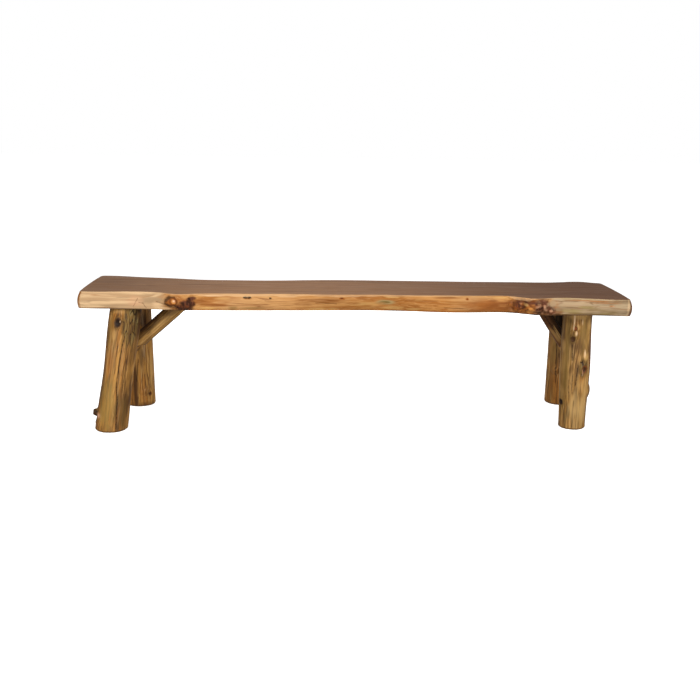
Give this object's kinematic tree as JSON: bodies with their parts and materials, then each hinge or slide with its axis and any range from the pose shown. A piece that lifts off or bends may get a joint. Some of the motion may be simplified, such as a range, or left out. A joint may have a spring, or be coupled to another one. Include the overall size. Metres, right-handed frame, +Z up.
{
  "type": "rustic log bench",
  "caption": "Backless rustic bench: a live-edge slab seat on splayed peeled-log legs, with a log cross rail and a diagonal log brace at each end.",
  "frame": {"origin": "on the floor, under the middle of the slab", "axes": "+X along the bench to the right as one faces its front, -Y to the front, +Z up"},
  "size_m": [1.858, 0.4843, 0.46],
  "materials": {
    "slab_wood": "varnished live-edge softwood, brown on top with golden natural edges",
    "leg_wood": "varnished peeled log, amber",
    "rail_wood": "varnished peeled log, amber",
    "brace_wood": "varnished peeled pole, olive brown",
    "wedge_wood": "bare hardwood",
    "screw_steel": "dark zinc-plated steel"
  },
  "bodies": {
    "root": {"seat_slab": "slab_wood", "leg_front_left": "leg_wood", "leg_front_right": "leg_wood", "leg_rear_left": "leg_wood", "leg_rear_right": "leg_wood", "rail_left": "rail_wood", "rail_right": "rail_wood", "brace_left": "brace_wood", "brace_right": "brace_wood", "wedge_front_left": "wedge_wood", "wedge_front_right": "wedge_wood", "wedge_rear_left": "wedge_wood", "wedge_rear_right": "wedge_wood", "brace_screws_left": "screw_steel", "brace_screws_right": "screw_steel"}
  },
  "joints": []
}
